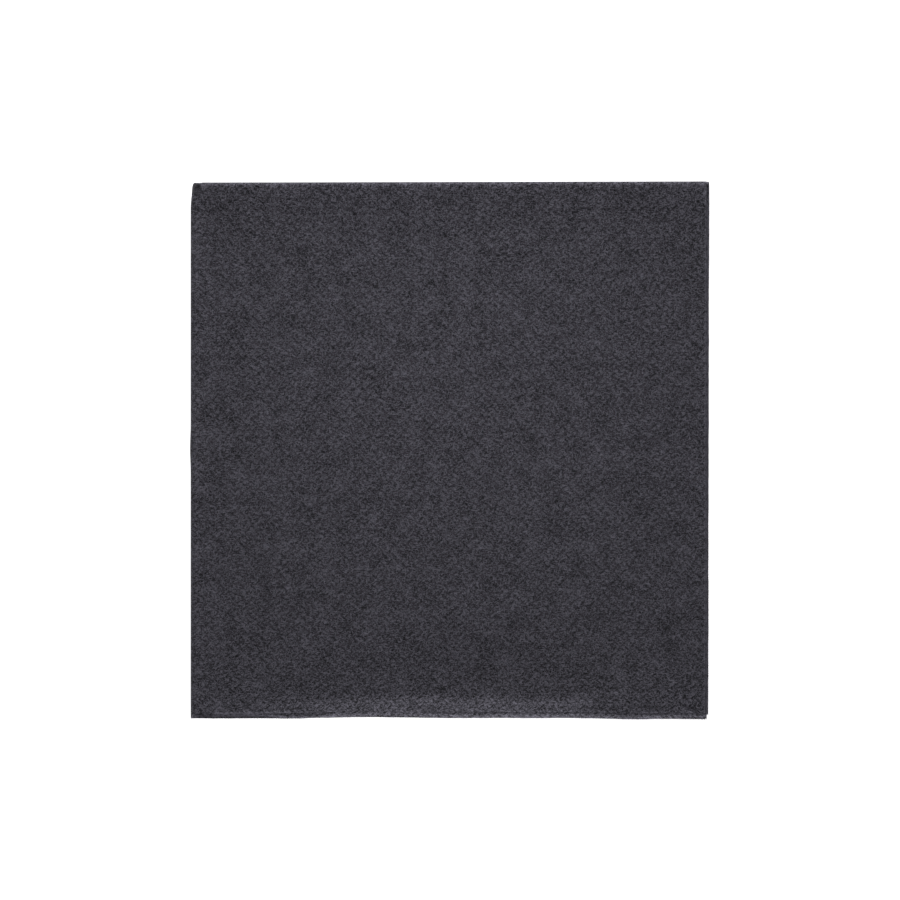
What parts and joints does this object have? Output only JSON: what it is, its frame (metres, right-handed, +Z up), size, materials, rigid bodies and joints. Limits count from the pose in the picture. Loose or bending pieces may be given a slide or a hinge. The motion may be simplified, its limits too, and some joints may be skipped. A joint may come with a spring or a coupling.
{
  "type": "folded paper napkin",
  "caption": "Quarter-folded two-ply embossed paper napkin lying flat, with an upper half that opens about its last fold.",
  "frame": {"origin": "under the middle of the folded outline, on the surface that the napkin lies on", "axes": "+Z up out of the top leaf, +Y towards the first fold, +X towards the open cut edges opposite the second fold"},
  "size_m": [0.16, 0.1656, 0.0033],
  "materials": {
    "tissue": "matt, dyed and embossed"
  },
  "bodies": {
    "lower_half": {"leaf_1_outer_ply": "tissue", "leaf_1_inner_ply": "tissue", "leaf_2_inner_ply": "tissue", "leaf_2_outer_ply": "tissue", "first_fold_lower_outer_ply": "tissue", "first_fold_lower_inner_ply": "tissue", "second_fold_wrap_outer_ply": "tissue", "second_fold_wrap_inner_ply": "tissue", "second_fold_core_inner_ply": "tissue", "second_fold_core_outer_ply": "tissue"},
    "upper_half": {"leaf_3_outer_ply": "tissue", "leaf_3_inner_ply": "tissue", "leaf_4_inner_ply": "tissue", "leaf_4_outer_ply": "tissue", "first_fold_upper_outer_ply": "tissue", "first_fold_upper_inner_ply": "tissue"}
  },
  "joints": [
    {"name": "second_fold", "type": "hinge", "parent": "lower_half", "child": "upper_half", "pos_m": [-0.07833, 0, 0.00168], "axis": [0, -1, 0], "range_deg": [0, 180], "deforming": ["second_fold_wrap_outer_ply", "second_fold_wrap_inner_ply", "second_fold_core_inner_ply", "second_fold_core_outer_ply"]}
  ]
}
